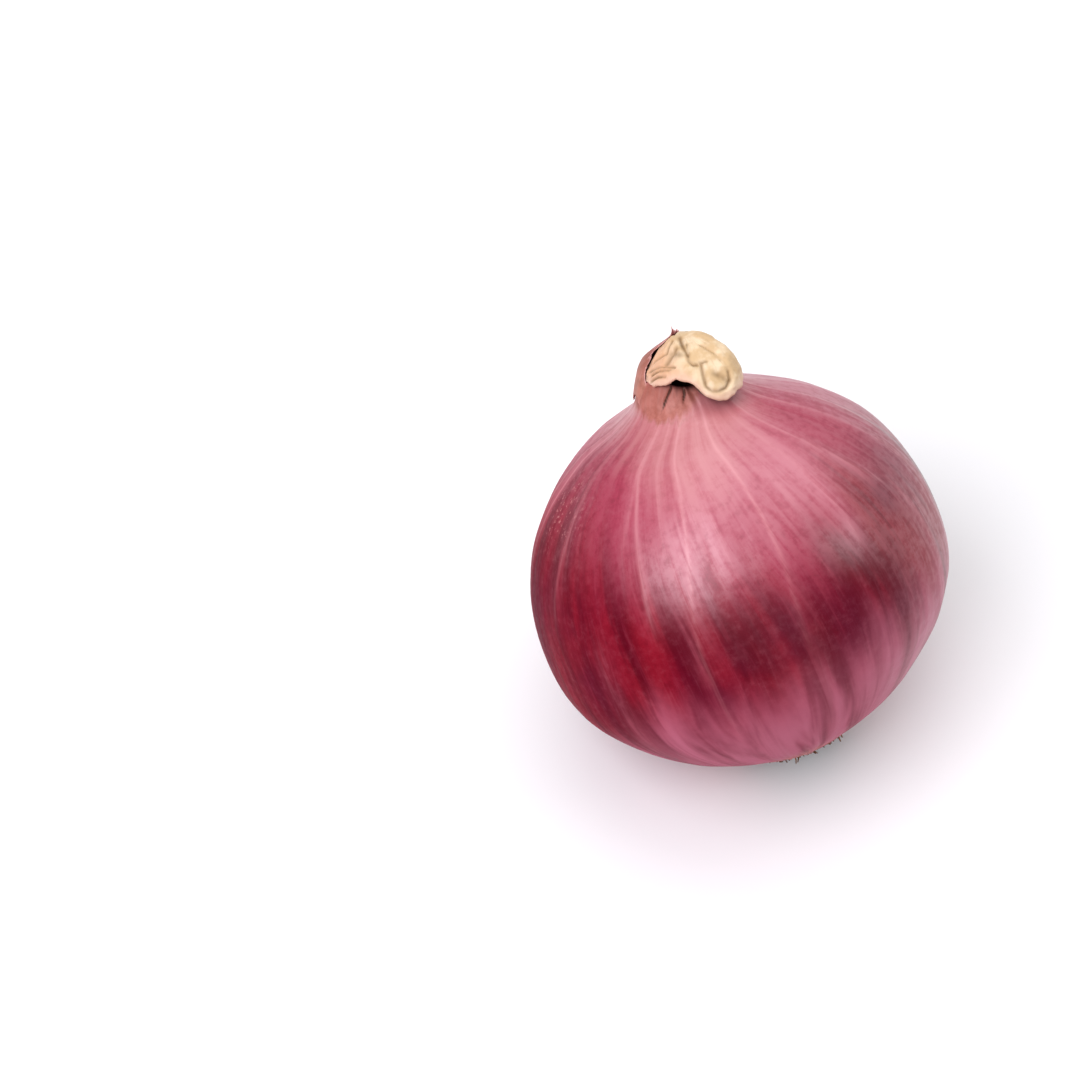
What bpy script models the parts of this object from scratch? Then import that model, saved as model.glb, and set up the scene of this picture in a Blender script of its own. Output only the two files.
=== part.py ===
# Red onion: a bulb in its dry skins, the folded neck of dead leaves on top, and the root tuft below.
# It lies tilted on a small flat spot, and the middle of that spot is the origin. Metres, +Z up.
import math

import bmesh
import bpy
import numpy as np
from mathutils import Matrix, Vector

MM = 0.001

# The pose: the bulb's own axis leans over, toward the back left.
LEAN_DEG = 34.6
LEAN_TOWARD_DEG = 127.2
TURN_DEG = 247.6
FLAT_SPOT_DEPTH = 0.7 * MM

# The bulb's outline in its own frame, radius and height in mm from its middle, from the top down:
# collar, shoulder, belly, and the hollow round the basal plate.
BULB_OUTLINE = (
    (0.0, 34.2), (3.8, 34.4), (5.3, 36.2), (6.1, 36.6), (6.8, 35.8), (8.0, 33.9), (11.5, 31.8),
    (18.0, 28.5), (26.0, 22.5), (32.8, 13.0), (35.6, 1.5), (34.5, -11.0), (25.2, -22.9),
    (14.2, -30.0), (11.0, -31.8), (9.9, -31.9), (9.3, -31.2), (0.0, -30.8),
)
RING_SPACING = 4.0
FINE_SPACING = 1.0

# The belly is a little fuller on one side above its middle, and on another below it.
UPPER_SWELL, UPPER_SWELL_DEG = 0.019, -48.0
LOWER_SWELL, LOWER_SWELL_DEG = 0.009, 67.0
SWELL_BLEND = 16.4 * MM

# The collar stands off the bulb's axis, and its rim is higher at the back left than at the front.
COLLAR_START = 31.6 * MM
COLLAR_TOP = 37.0 * MM
COLLAR_BLEND = 3.0 * MM
COLLAR_INSIDE = 5.5 * MM
COLLAR_SHIFT = 3.0 * MM
COLLAR_LEAN = 0.42
COLLAR_LEAN_START = 36.2 * MM
COLLAR_RISE = 4.4 * MM
COLLAR_HIGH_DEG = 160.0

# Veins: raised ribs from root to neck, unevenly spaced.
VEIN_COUNT = 26
COLUMNS_PER_VEIN = 4
VEIN_SCATTER = 0.28
VEIN_WEAKEST = 0.45
VEIN_HEIGHT = 0.32 * MM
VEIN_FADE = (9 * MM, 24 * MM)
COLLAR_FOLD = 0.28 * MM
FOLD_HEIGHT = (29 * MM, 33 * MM)
FOLD_RADIUS = (3 * MM, 7 * MM)
VEIN_SEED = 11

# The hood's edge: direction round the neck in degrees, reach and height in mm, and how round the
# roof above it is, from 1 for a straight slope to 2 for a dome. Directions run from +X, the lobe's
# side, and the front is at -90.
HOOD_CENTRE = Vector((4.0, 0.5, 0.0)) * MM
HOOD_EDGE = (
    (-178.0, 5.6, 38.9, 1.7), (-148.0, 6.5, 38.9, 1.8), (-114.0, 8.1, 39.0, 1.8), (-95.0, 8.7, 39.2, 1.7),
    (-83.0, 9.7, 38.0, 1.7), (-75.0, 11.4, 35.1, 1.8), (-60.0, 12.3, 33.9, 1.9), (-42.0, 11.7, 34.4, 1.9),
    (-15.0, 9.1, 35.6, 1.4), (30.0, 6.8, 36.8, 1.2), (80.0, 5.4, 37.8, 1.3), (130.0, 5.2, 38.6, 1.6),
)
# How far the hood's underside is drawn in below its edge, as a share of its reach.
HOOD_MOUTH = (
    (-178.0, 0.98), (-148.0, 0.95), (-118.0, 0.60), (-95.0, 0.36), (-75.0, 0.40),
    (-60.0, 0.52), (-42.0, 0.58), (-15.0, 0.70), (30.0, 0.92), (80.0, 0.98), (130.0, 0.98),
)
HOOD_TOP = Vector((6.5, 1.2, 43.4)) * MM
HOOD_FOOT = 32.2 * MM
HOOD_LIP = 0.9 * MM
HOOD_CEILING = 1.2 * MM
CEILING_OVER = (34 * MM, 39 * MM)
MOUTH_DRAWN = (0.98, 0.6)
HOOD_COLUMNS = 60
HOOD_ROOF_STEPS = (0.14, 0.31, 0.5, 0.68, 0.83, 0.95)
HOOD_WRINKLE = 0.28 * MM
HOOD_WRINKLES = 11

# The basal plate and its root stubs.
PLATE_RADIUS = 9.2 * MM
PLATE_SIDES = 28
PLATE_TOP = -30.4 * MM
PLATE_RIM = -32.2 * MM
PLATE_BOTTOM = -33.0 * MM
ROOT_COUNT = 78
ROOT_RADIUS = 0.52 * MM
ROOT_LENGTHS = (1.0 * MM, 2.2 * MM)
ROOT_SUNK = 0.9 * MM
ROOT_SPLAY_DEG = 48.0
ROOT_STRAY = 0.25
ROOT_CURL = 0.7
ROOT_TAPER = (1.1, 0.9, 0.6)
ROOT_SIZES = (0.8, 1.0, 1.2)
ROOT_SEED = 5
FLOOR_CLEARANCE = 0.35 * MM

SEAT_GAP = 0.3 * MM
MERGE = 0.00001
CUTTER_SIZE = 0.2


def clear_scene():
    for item in list(bpy.data.objects):
        bpy.data.objects.remove(item, do_unlink=True)


def make_collection(name):
    group = bpy.data.collections.new(name)
    bpy.context.scene.collection.children.link(group)
    return group


def make_material(name, colour, roughness, metallic=0.0):
    material = bpy.data.materials.new(name)
    material.use_nodes = True
    shader = material.node_tree.nodes["Principled BSDF"]
    shader.inputs["Base Color"].default_value = (*colour, 1.0)
    shader.inputs["Roughness"].default_value = roughness
    shader.inputs["Metallic"].default_value = metallic
    return material


def add_object(name, mesh, group):
    item = bpy.data.objects.new(name, mesh)
    group.objects.link(item)
    return item


def evaluated_mesh(item):
    bpy.context.view_layer.update()
    graph = bpy.context.evaluated_depsgraph_get()
    return bpy.data.meshes.new_from_object(item.evaluated_get(graph))


def mesh_points(mesh):
    points = np.empty(len(mesh.vertices) * 3, dtype=np.float32)
    mesh.vertices.foreach_get("co", points)
    return points.reshape(-1, 3).astype(float)


def set_points(mesh, points):
    mesh.vertices.foreach_set("co", points.astype(np.float32).ravel())
    mesh.update()


def smoothstep(low, high, value):
    share = np.clip((value - low) / (high - low), 0.0, 1.0)
    return share * share * (3.0 - 2.0 * share)


# A smooth path through the points: cubic spans whose slopes lean on the nearer neighbour, each cut
# into even steps of about the given spacing.
def smooth_path(points, spacing):
    points = np.array(points, dtype=float)
    width = np.linalg.norm(np.diff(points, axis=0), axis=1) ** 0.5
    slope = np.diff(points, axis=0) / width[:, None]
    inner = (slope[:-1] * width[1:, None] + slope[1:] * width[:-1, None]) / (width[:-1] + width[1:])[:, None]
    tangent = np.vstack([slope[:1], inner, slope[-1:]])
    path = []
    for i, span in enumerate(width):
        steps = max(1, round(span * span / spacing))
        t = np.arange(steps) / steps
        start, end = points[i], points[i + 1]
        h01 = t * t * (3 - 2 * t)
        h10 = t * (1 - t) ** 2 * span
        h11 = t * t * (t - 1) * span
        path.append(np.outer(1 - h01, start) + np.outer(h01, end)
                    + np.outer(h10, tangent[i]) + np.outer(h11, tangent[i + 1]))
    return np.vstack(path + [points[-1:]])


# Reads a table of directions in degrees at any angle in radians, smoothly and all the way round.
def round_table(table, column, angle):
    rows = np.array(table, dtype=float)
    degrees = np.concatenate([rows[-2:, 0] - 360, rows[:, 0], rows[:2, 0] + 360])
    values = np.concatenate([rows[-2:, column], rows[:, column], rows[:2, column]])
    at = (np.degrees(angle) + 180.0) % 360.0 - 180.0
    at = np.where(at < rows[0, 0], at + 360.0, at)
    i = np.clip(np.searchsorted(degrees, at, side="right") - 1, 1, len(degrees) - 3)
    span = degrees[i + 1] - degrees[i]
    t = (at - degrees[i]) / span
    before = (values[i + 1] - values[i - 1]) / (degrees[i + 1] - degrees[i - 1]) * span
    after = (values[i + 2] - values[i]) / (degrees[i + 2] - degrees[i]) * span
    return (values[i] * (1 + 2 * t) * (1 - t) ** 2 + values[i + 1] * t * t * (3 - 2 * t)
            + before * t * (1 - t) ** 2 + after * t * t * (t - 1))


# Where each vein lies and how strong it is: even steps round the bulb, each moved a little.
def draw_veins():
    rng = np.random.default_rng(VEIN_SEED)
    place = (np.arange(VEIN_COUNT) + rng.uniform(-VEIN_SCATTER, VEIN_SCATTER, VEIN_COUNT)) * math.tau / VEIN_COUNT
    strength = rng.uniform(VEIN_WEAKEST, 1.0, VEIN_COUNT)
    return place, strength


# Gives a turned body its natural form: columns drawn to the veins, the veins raised, the belly a
# little lopsided, and the collar moved off the axis with its rim aslant.
def shape_bulb(points):
    place, strength = draw_veins()
    radius = np.hypot(points[:, 0], points[:, 1])
    height = points[:, 2]
    even = np.arctan2(points[:, 1], points[:, 0]) % math.tau * VEIN_COUNT / math.tau
    nearest = np.arange(-1, VEIN_COUNT + 2)
    around = np.concatenate([place[-1:] - math.tau, place, place[:2] + math.tau])
    angle = np.interp(even, nearest, around)
    share = even - np.floor(even)
    vein = np.floor(even + 0.5).astype(int) % VEIN_COUNT
    crest = (0.5 + 0.5 * np.cos(math.tau * share)) ** 1.5 * strength[vein]
    belly = VEIN_HEIGHT * smoothstep(*VEIN_FADE, radius)
    fold = COLLAR_FOLD * smoothstep(*FOLD_HEIGHT, height) * smoothstep(*FOLD_RADIUS, radius)
    upper = 0.5 + 0.5 * np.tanh(height / SWELL_BLEND)
    swell = 1.0 + UPPER_SWELL * upper * np.cos(angle - math.radians(UPPER_SWELL_DEG))
    swell += LOWER_SWELL * (1.0 - upper) * np.cos(angle - math.radians(LOWER_SWELL_DEG))
    radius = radius * swell + (belly + fold) * crest
    collar = smoothstep(COLLAR_START, COLLAR_TOP, height)
    high = 0.5 + 0.5 * np.cos(angle - math.radians(COLLAR_HIGH_DEG))
    rise = COLLAR_RISE * collar * high ** 1.5 * smoothstep(0.0, COLLAR_INSIDE, radius)
    shift = COLLAR_SHIFT * smoothstep(COLLAR_START - COLLAR_BLEND, COLLAR_START + COLLAR_BLEND, height)
    shift += COLLAR_LEAN * np.maximum(height + rise - COLLAR_LEAN_START, 0.0)
    return np.column_stack([
        radius * np.cos(angle) + shift,
        radius * np.sin(angle),
        height + rise,
    ])


# A body turned from an outline of radius and height that starts and ends on the axis.
def turned_body(name, outline, sides, group):
    mesh = bpy.data.meshes.new("outline")
    mesh.from_pydata([(r, 0.0, z) for r, z in outline], [(i, i + 1) for i in range(len(outline) - 1)], [])
    lathe = add_object("outline", mesh, group)
    screw = lathe.modifiers.new("turned", "SCREW")
    screw.steps = screw.render_steps = sides
    screw.use_merge_vertices = True
    screw.merge_threshold = MERGE
    body = evaluated_mesh(lathe)
    bpy.data.objects.remove(lathe, do_unlink=True)
    body.name = name
    return add_object(name, body, group)


def make_bulb(parts):
    outline = smooth_path(BULB_OUTLINE, RING_SPACING) * MM
    bulb = turned_body("bulb", outline, VEIN_COUNT * COLUMNS_PER_VEIN, parts)
    set_points(bulb.data, shape_bulb(mesh_points(bulb.data)))
    return bulb


# A closed body through rings of points, with a fan to the pole at each end.
def loft(name, rings, first_pole, last_pole, group):
    columns = len(rings[0])
    build = bmesh.new()
    rows = [[build.verts.new(point) for point in ring] for ring in rings]
    first, last = build.verts.new(first_pole), build.verts.new(last_pole)
    for i in range(columns):
        j = (i + 1) % columns
        build.faces.new((first, rows[0][j], rows[0][i]))
        for low, high in zip(rows, rows[1:]):
            build.faces.new((low[i], low[j], high[j], high[i]))
        build.faces.new((last, rows[-1][i], rows[-1][j]))
    mesh = bpy.data.meshes.new(name)
    build.to_mesh(mesh)
    build.free()
    return add_object(name, mesh, group)


# The dry neck: from its foot in the collar up the sides of the mouth, out to the hood's edge and over
# the roof to the top.
def make_neck(parts):
    angle = np.arange(HOOD_COLUMNS) * math.tau / HOOD_COLUMNS
    reach = round_table(HOOD_EDGE, 1, angle) * MM
    edge = round_table(HOOD_EDGE, 2, angle) * MM
    roundness = round_table(HOOD_EDGE, 3, angle)
    mouth = round_table(HOOD_MOUTH, 1, angle)
    centre, top = np.array(HOOD_CENTRE), np.array(HOOD_TOP)
    drawn = smoothstep(*MOUTH_DRAWN, mouth)

    def ring(share, height, wrinkle=0.0):
        middle = centre + (top - centre) * np.clip((height - edge) / (top[2] - edge), 0, 1)[:, None]
        crease = wrinkle * HOOD_WRINKLE * np.cos(HOOD_WRINKLES * angle + 0.9 * np.sin(3 * angle))
        out = reach * share + crease
        across, along = middle[:, 0] + out * np.cos(angle), middle[:, 1] + out * np.sin(angle)
        return np.column_stack([across, along, height])

    foot = np.full(HOOD_COLUMNS, HOOD_FOOT)
    ceiling = edge - HOOD_LIP + HOOD_CEILING * drawn * smoothstep(*CEILING_OVER, edge)
    rings = [
        ring(mouth * 0.55, foot),
        ring(mouth * 0.9, foot + 0.6 * MM),
        ring(mouth, 0.5 * (foot + 0.6 * MM + ceiling)),
        ring(mouth, ceiling - 0.3 * MM),
        ring(mouth + (1 - mouth) * 0.5, ceiling),
        ring(0.94, edge - HOOD_LIP * 0.6),
        ring(1.0, edge, 0.6),
    ]
    for gain in HOOD_ROOF_STEPS:
        share = (1.0 - gain ** roundness) ** (1.0 / roundness)
        rings.append(ring(share, edge + gain * (top[2] - edge), share))
    foot_pole = (centre[0], centre[1], HOOD_FOOT)
    return loft("neck", rings, foot_pole, tuple(top + np.array((0, 0, 0.1 * MM))), parts)


def make_plate(parts):
    outline = (
        (0.0, PLATE_TOP), (PLATE_RADIUS * 0.9, PLATE_TOP), (PLATE_RADIUS, PLATE_RIM + 0.5 * MM),
        (PLATE_RADIUS * 0.97, PLATE_RIM), (PLATE_RADIUS * 0.6, PLATE_BOTTOM + 0.2 * MM), (0.0, PLATE_BOTTOM),
    )
    return turned_body("roots", outline, PLATE_SIDES, parts)


# One root stub: a short tapered tube that leans outward and curls, closed at both ends.
def make_stub(number, rng, pose, group):
    share = math.sqrt((number + 0.5) / ROOT_COUNT)
    angle = number * math.pi * (3 - math.sqrt(5)) + rng.uniform(-0.2, 0.2)
    out = share * (PLATE_RADIUS - 0.9 * MM)
    base = Vector((out * math.cos(angle), out * math.sin(angle), PLATE_BOTTOM + share ** 3 * 0.8 * MM))
    splay = math.radians(ROOT_SPLAY_DEG) * share + rng.uniform(-ROOT_STRAY, ROOT_STRAY)
    lean = angle + rng.uniform(-0.6, 0.6)
    length = rng.uniform(*ROOT_LENGTHS)
    curl = rng.uniform(-ROOT_CURL, ROOT_CURL)
    clear = False
    while not clear:
        spots = []
        for step in (-ROOT_SUNK, 0.45 * length, length):
            bend = splay + curl * max(step, 0.0) / ROOT_LENGTHS[1]
            way = Vector((math.sin(bend) * math.cos(lean), math.sin(bend) * math.sin(lean), -math.cos(bend)))
            spots.append(base + way * step)
        clear = (pose @ spots[-1]).z > FLOOR_CLEARANCE + ROOT_RADIUS
        length *= 0.8
    curve = bpy.data.curves.new("root stub", "CURVE")
    curve.dimensions = "3D"
    curve.bevel_depth = ROOT_RADIUS
    curve.bevel_resolution = 1
    curve.use_fill_caps = True
    spline = curve.splines.new("POLY")
    spline.points.add(len(spots) - 1)
    for point, spot, width in zip(spline.points, spots, ROOT_TAPER):
        point.co = (*spot, 1.0)
        point.radius = width * ROOT_SIZES[number % len(ROOT_SIZES)]
    loose = add_object("root stub", curve, group)
    solid = evaluated_mesh(loose)
    bpy.data.objects.remove(loose, do_unlink=True)
    weld = bmesh.new()
    weld.from_mesh(solid)
    bmesh.ops.remove_doubles(weld, verts=weld.verts, dist=MERGE)
    weld.to_mesh(solid)
    weld.free()
    return add_object(f"root stub {number}", solid, group)


def make_roots(pose, parts, tools):
    plate = make_plate(parts)
    rng = np.random.default_rng(ROOT_SEED)
    stubs = bpy.data.collections.new("root stubs")
    tools.children.link(stubs)
    for number in range(ROOT_COUNT):
        make_stub(number, rng, pose, stubs)
    join = plate.modifiers.new("grown together", "BOOLEAN")
    join.operation = "UNION"
    join.operand_type = "COLLECTION"
    join.collection = stubs
    joined = evaluated_mesh(plate)
    plate.modifiers.clear()
    plate.data = joined
    for stub in list(stubs.objects):
        bpy.data.objects.remove(stub, do_unlink=True)
    bpy.data.collections.remove(stubs)
    return plate


def make_cutter(name, mesh, tools):
    cutter = add_object(name, mesh, tools)
    cutter.hide_render = True
    cutter.display_type = "WIRE"
    return cutter


def cut(item, cutter):
    trim = item.modifiers.new(f"cut by {cutter.name}", "BOOLEAN")
    trim.operation = "DIFFERENCE"
    trim.object = cutter


# The bulb swollen by the seat's gap, which cuts the seats of the neck and the roots.
def seat_mesh(bulb):
    mesh = bulb.data.copy()
    build = bmesh.new()
    build.from_mesh(mesh)
    build.normal_update()
    for vertex in build.verts:
        vertex.co += vertex.normal * SEAT_GAP
    build.to_mesh(mesh)
    build.free()
    return mesh


# The bulb's pose: leaned over, and let down until the flat spot has its depth, over the origin.
def resting_pose():
    turn = (
        Matrix.Rotation(math.radians(LEAN_TOWARD_DEG), 4, "Z")
        @ Matrix.Rotation(math.radians(LEAN_DEG), 4, "Y")
        @ Matrix.Rotation(math.radians(TURN_DEG), 4, "Z")
    )
    radius, height = smooth_path(BULB_OUTLINE, FINE_SPACING).T * MM
    around = np.linspace(0.0, math.tau, 360, endpoint=False)[:, None]
    skin = np.stack(np.broadcast_arrays(radius * np.cos(around), radius * np.sin(around), height), axis=-1)
    placed = skin.reshape(-1, 3) @ np.array(turn.to_3x3()).T
    lowest = placed[np.argmin(placed[:, 2])]
    down = Matrix.Translation(Vector((-lowest[0], -lowest[1], -lowest[2] - FLAT_SPOT_DEPTH)))
    return down @ turn


def main():
    clear_scene()
    parts = make_collection("red onion")
    tools = make_collection("cutters")
    pose = resting_pose()
    bulb = make_bulb(parts)
    neck = make_neck(parts)
    roots = make_roots(pose, parts, tools)

    floor_mesh = bpy.data.meshes.new("floor cutter")
    block = bmesh.new()
    bmesh.ops.create_cube(block, size=CUTTER_SIZE)
    block.to_mesh(floor_mesh)
    block.free()
    floor = make_cutter("floor cutter", floor_mesh, tools)
    floor.location.z = -CUTTER_SIZE / 2
    seat = make_cutter("seat cutter", seat_mesh(bulb), tools)

    onion = bpy.data.objects.new("onion pose", None)
    parts.objects.link(onion)
    onion.matrix_world = pose
    for item in (bulb, neck, roots, seat):
        item.parent = onion
    cut(bulb, floor)
    cut(neck, seat)
    cut(roots, seat)

    bulb.data.materials.append(make_material("red skin", (0.24, 0.018, 0.045), 0.38))
    neck.data.materials.append(make_material("dry neck", (0.72, 0.52, 0.30), 0.8))
    roots.data.materials.append(make_material("dry roots", (0.42, 0.27, 0.15), 0.9))
    for item in (bulb, neck, roots):
        item.data.shade_smooth()


main()
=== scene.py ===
import math

import bpy
import numpy as np
from mathutils import Matrix, Vector


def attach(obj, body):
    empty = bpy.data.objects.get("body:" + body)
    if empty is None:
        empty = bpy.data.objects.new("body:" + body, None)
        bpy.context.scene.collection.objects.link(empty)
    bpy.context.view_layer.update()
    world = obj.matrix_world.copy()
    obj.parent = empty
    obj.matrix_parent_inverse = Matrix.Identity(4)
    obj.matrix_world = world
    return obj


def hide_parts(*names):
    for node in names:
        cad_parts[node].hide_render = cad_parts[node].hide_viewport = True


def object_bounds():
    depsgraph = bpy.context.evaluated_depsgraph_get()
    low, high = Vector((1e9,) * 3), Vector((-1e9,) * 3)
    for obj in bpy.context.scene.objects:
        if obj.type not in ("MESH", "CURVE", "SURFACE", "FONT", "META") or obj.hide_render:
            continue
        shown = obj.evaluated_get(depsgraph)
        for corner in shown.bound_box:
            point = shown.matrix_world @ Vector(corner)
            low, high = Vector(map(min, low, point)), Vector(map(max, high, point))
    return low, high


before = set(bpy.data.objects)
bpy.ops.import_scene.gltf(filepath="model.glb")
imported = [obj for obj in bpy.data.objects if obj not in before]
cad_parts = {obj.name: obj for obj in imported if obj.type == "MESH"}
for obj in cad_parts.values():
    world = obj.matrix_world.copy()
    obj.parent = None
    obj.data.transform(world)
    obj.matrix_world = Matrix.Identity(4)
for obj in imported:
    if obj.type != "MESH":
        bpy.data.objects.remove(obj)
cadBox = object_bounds()
mm = 0.001
print("frame loaded: bulb, neck and roots")


# Smooth path: cubic spans through the points, each span's end slopes leaning on the nearer neighbour,
# read at the given number of steps a span. The points may be whole rows of points too.
def smoothPath(points, steps):
    points = np.array(points, dtype=float)
    width = np.linalg.norm(np.diff(points, axis=0), axis=-1, keepdims=True) ** 0.5
    slope = np.diff(points, axis=0) / width
    inner = (slope[:-1] * width[1:] + slope[1:] * width[:-1]) / (width[:-1] + width[1:])
    tangent = np.concatenate([slope[:1], inner, slope[-1:]])
    t = np.arange(steps).reshape((1, steps) + (1,) * (points.ndim - 1)) / steps
    start, end = points[:-1, None], points[1:, None]
    leave, arrive = (tangent[:-1] * width)[:, None], (tangent[1:] * width)[:, None]
    ease = t * t * (3 - 2 * t)
    path = start * (1 - ease) + end * ease + leave * t * (1 - t) ** 2 + arrive * t * t * (t - 1)
    return np.concatenate([path.reshape((-1,) + points.shape[1:]), points[-1:]])


# Even path: the same path with its points moved along it, so that each step is 1 over the weight long.
def evenPath(path, count, weight=None):
    stepLength = np.linalg.norm(np.diff(path, axis=0), axis=1)
    if weight is not None:
        stepLength = stepLength * weight(0.5 * (path[1:] + path[:-1]))
    along = np.concatenate([[0.0], np.cumsum(stepLength)])
    places = np.linspace(0.0, along[-1], count)
    return np.stack([np.interp(places, along, path[:, i]) for i in range(path.shape[1])], axis=1)


def smoothStep(low, high, value):
    share = np.clip((value - low) / (high - low), 0.0, 1.0)
    return share * share * (3.0 - 2.0 * share)


# Bump: 1 at the middle, falling off as exp(-(distance / width) squared).
def softBump(distance, width):
    return np.exp(-((distance / width) ** 2))


# Turn apart: the signed angle from b to a, between -pi and pi.
def turnApart(a, b):
    return (a - b + math.pi) % math.tau - math.pi


# Round table: a table of directions in degrees read at any angle, by cubic spans that close on themselves.
def roundTable(rows, column, angle):
    rows = np.array(rows, dtype=float)
    degrees = np.concatenate([rows[-2:, 0] - 360, rows[:, 0], rows[:2, 0] + 360])
    values = np.concatenate([rows[-2:, column], rows[:, column], rows[:2, column]])
    at = (np.degrees(angle) + 180.0) % 360.0 - 180.0
    at = np.where(at < rows[0, 0], at + 360.0, at)
    i = np.clip(np.searchsorted(degrees, at, side="right") - 1, 1, len(degrees) - 3)
    span = degrees[i + 1] - degrees[i]
    t = (at - degrees[i]) / span
    before = (values[i + 1] - values[i - 1]) / (degrees[i + 1] - degrees[i - 1]) * span
    after = (values[i + 2] - values[i]) / (degrees[i + 2] - degrees[i]) * span
    ease = t * t * (3 - 2 * t)
    bent = before * t * (1 - t) ** 2 + after * t * t * (t - 1)
    return values[i] * (1 - ease) + values[i + 1] * ease + bent


# Around: points at a distance from the upright axis in a direction, and at a height.
def around(angle, out, height):
    return np.stack(np.broadcast_arrays(out * np.cos(angle), out * np.sin(angle), height), axis=-1)


# Side bump: a bump round the bulb, with its middle and its width in degrees.
def sideBump(angle, middle, wide):
    return softBump(turnApart(angle, math.radians(middle)), math.radians(wide))


# Lattice noise: random values between -1 and 1 at whole-numbered places, blended smoothly between them.
def latticeNoise(places, seed):
    size = 64
    table = np.random.default_rng(seed).uniform(-1.0, 1.0, (size, size, size))
    cell = np.floor(places).astype(int)
    part = places - cell
    part = part * part * (3.0 - 2.0 * part)
    total = np.zeros(places.shape[:-1])
    for corner in np.ndindex(2, 2, 2):
        share = np.prod([part[..., k] if corner[k] else 1.0 - part[..., k] for k in range(3)], axis=0)
        at = [(cell[..., k] + corner[k]) % size for k in range(3)]
        total += share * table[at[0], at[1], at[2]]
    return total


# Rough noise: lattice noise added up at halving sizes and strengths.
def roughNoise(places, seed, layers=3):
    return sum(latticeNoise(places * 2 ** k, seed + k) * 0.5 ** k for k in range(layers))


# Off the line: each place's distance to the nearest point of a line of points.
def offLine(places, line):
    line = np.array(line, dtype=float)
    nearest = np.full(places.shape[:-1], 1.0)
    for start, end in zip(line[:-1], line[1:]):
        way = end - start
        share = np.clip(((places - start) @ way) / (way @ way), 0.0, 1.0)
        away = np.linalg.norm(places - start - share[..., None] * way, axis=-1)
        nearest = np.minimum(nearest, away)
    return nearest


# Facing: unit normals of a grid that goes round, from the cross product of its steps along and across.
def gridFacing(points):
    across = np.roll(points, -1, axis=1) - np.roll(points, 1, axis=1)
    along = np.gradient(points, axis=0)
    facing = np.cross(across, along)
    return facing / np.maximum(np.linalg.norm(facing, axis=-1, keepdims=True), 1e-12)


# Grid faces: four-sided faces between rows of points, and the fans from the first and the last row to
# two poles, which are numbered after the points.
def gridFaces(rowCount, columnCount, goesRound=True):
    index = np.arange(rowCount * columnCount).reshape(rowCount, columnCount)
    right = np.roll(index, -1, axis=1) if goesRound else index[:, 1:]
    left = index if goesRound else index[:, :-1]
    quads = np.stack([left[:-1], right[:-1], right[1:], left[1:]], axis=-1).reshape(-1, 4)
    firstPole, lastPole = np.full_like(left[0], index.size), np.full_like(left[0], index.size + 1)
    firstFan = np.stack([firstPole, right[0], left[0]], axis=-1)
    lastFan = np.stack([left[-1], right[-1], lastPole], axis=-1)
    return quads, np.vstack([firstFan, lastFan])


# Grid piece: a mesh from rows of points, closed on itself where it goes round, and at its poles if given.
def gridPiece(name, points, goesRound=True, poles=None, attributes=None):
    quads, fans = gridFaces(*points.shape[:2], goesRound)
    vertices = points.reshape(-1, 3)
    if poles is None:
        return rawPiece(name, vertices, quads, None, attributes)
    return rawPiece(name, np.vstack([vertices, poles]), quads, fans, attributes)


# Turned grid: radius, direction and height at each row of an outline and each column round the axis.
def turnedGrid(path, columns):
    angle = np.linspace(0.0, math.tau, columns, endpoint=False)
    radius, turn = np.meshgrid(path[:, 0], angle, indexing="ij")
    return radius, turn, np.meshgrid(path[:, 1], angle, indexing="ij")[0]


# With ends: a grid's points, and then the middles of its first and last rows.
def withEnds(points):
    return np.vstack([points.reshape(-1, 3), points[0].mean(axis=0), points[-1].mean(axis=0)])


# Pole values: the values of a grid's points, and then the poles' own, which are those of the end rows.
def withPoles(values):
    return {label: np.concatenate([value.ravel(), value[0, :1], value[-1, :1]])
            for label, value in values.items()}


# Raw piece: a mesh from vertices, four-sided and three-sided faces, with named values on its points.
def rawPiece(name, vertices, quads, triangles=None, attributes=None):
    mesh = bpy.data.meshes.new(name)
    corners = quads.ravel()
    starts = np.arange(len(quads)) * 4
    if triangles is not None:
        starts = np.concatenate([starts, len(corners) + np.arange(len(triangles)) * 3])
        corners = np.concatenate([corners, triangles.ravel()])
    mesh.vertices.add(len(vertices))
    mesh.vertices.foreach_set("co", vertices.astype(np.float32).ravel())
    mesh.loops.add(len(corners))
    mesh.loops.foreach_set("vertex_index", corners.astype(np.int32))
    mesh.polygons.add(len(starts))
    mesh.polygons.foreach_set("loop_start", starts.astype(np.int32))
    mesh.update(calc_edges=True)
    for label, values in (attributes or {}).items():
        values = np.asarray(values, dtype=np.float32)
        kind = "FLOAT_VECTOR" if values.ndim == 2 else "FLOAT"
        layer = mesh.attributes.new(label, kind, "POINT")
        layer.data.foreach_set("vector" if values.ndim == 2 else "value", values.ravel())
    mesh.validate()
    mesh.shade_smooth()
    piece = bpy.data.objects.new(name, mesh)
    bpy.context.scene.collection.objects.link(piece)
    return piece


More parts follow.
